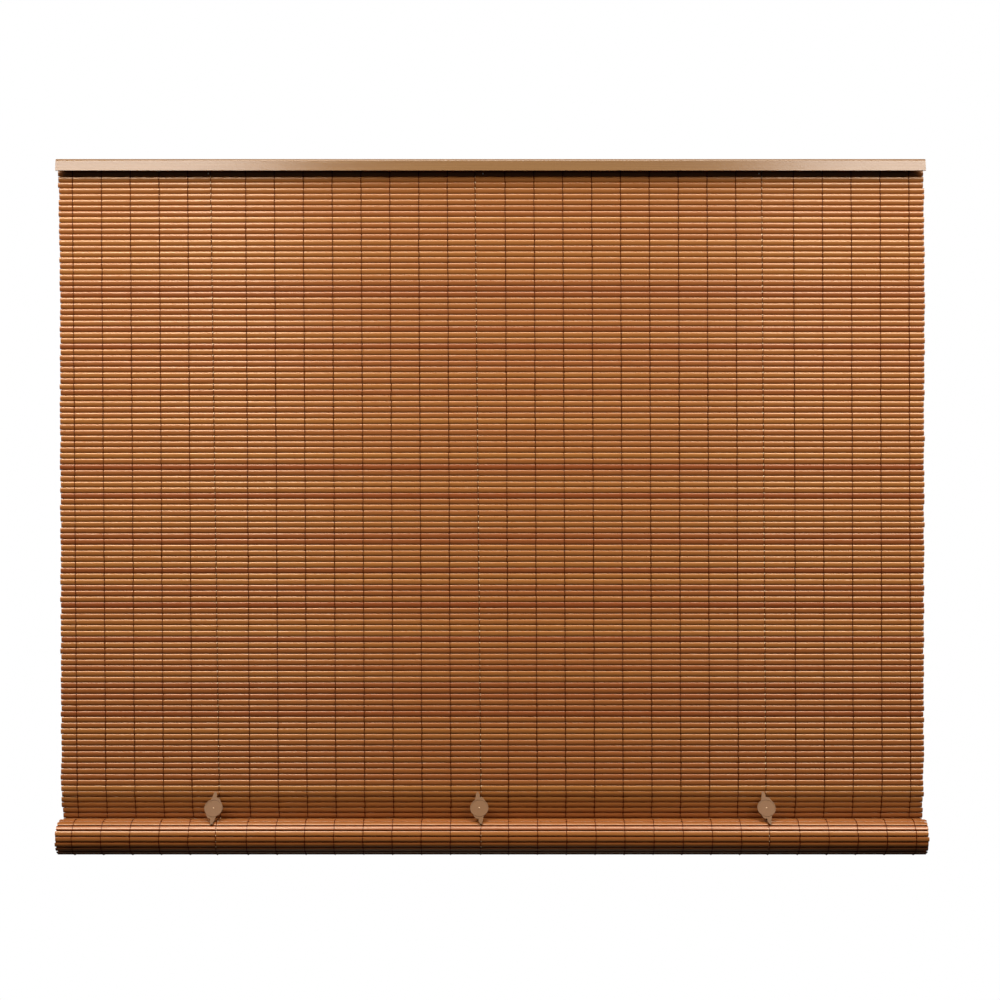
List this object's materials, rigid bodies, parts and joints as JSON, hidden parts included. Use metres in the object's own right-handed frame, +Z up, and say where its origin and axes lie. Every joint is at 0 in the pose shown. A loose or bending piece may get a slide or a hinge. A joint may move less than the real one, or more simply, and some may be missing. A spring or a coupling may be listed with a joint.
{
  "type": "roll-up shade",
  "caption": "Roll-up shade: a mat of thin oval slats tied with threads hangs from a slim head rail, its lower end wound into a roll held by disc clips on cords.",
  "frame": {"origin": "midway between the two screw holes, on the top face of the head rail", "axes": "+X along the rail to the right as seen from the room, -Y towards the room, +Z up"},
  "size_m": [1.2192, 0.0567, 0.9781],
  "materials": {
    "rail_wood_tone": "satin wood-tone coat",
    "slat_brown": "satin",
    "thread_brown": "matte",
    "cord_tan": "matte",
    "clip_tan": "satin",
    "raw_wood": "raw",
    "tack_steel": "satin"
  },
  "bodies": {
    "head": {"head_rail": "rail_wood_tone", "top_batten": "raw_wood", "hanging_mat": "slat_brown", "mat_threads": "thread_brown", "mat_cord_left": "cord_tan", "mat_cord_centre": "cord_tan", "mat_cord_right": "cord_tan", "tack_left": "tack_steel", "tack_centre": "tack_steel", "tack_right": "tack_steel"},
    "roll": {"rolled_mat": "slat_brown", "roll_threads": "thread_brown", "bottom_rod": "raw_wood", "roll_cord_left": "cord_tan", "roll_cord_centre": "cord_tan", "roll_cord_right": "cord_tan"},
    "clip_left": {"clip_left": "clip_tan"},
    "clip_centre": {"clip_centre": "clip_tan"},
    "clip_right": {"clip_right": "clip_tan"}
  },
  "joints": [
    {"name": "shade_lift", "type": "slide", "parent": "head", "child": "roll", "axis": [0, 0, 1], "range_m": [0, 0.78], "deforming": ["hanging_mat", "mat_threads", "mat_cord_left", "mat_cord_centre", "mat_cord_right"]},
    {"name": "clip_left_swing", "type": "hinge", "parent": "roll", "child": "clip_left", "pos_m": [-0.38775, -0.01399, -0.89166], "axis": [-1, 0, 0], "range_deg": [0, 60]},
    {"name": "clip_centre_swing", "type": "hinge", "parent": "roll", "child": "clip_centre", "pos_m": [-0.01835, -0.01399, -0.89166], "axis": [-1, 0, 0], "range_deg": [0, 60]},
    {"name": "clip_right_swing", "type": "hinge", "parent": "roll", "child": "clip_right", "pos_m": [0.38382, -0.01399, -0.89166], "axis": [-1, 0, 0], "range_deg": [0, 60]}
  ]
}
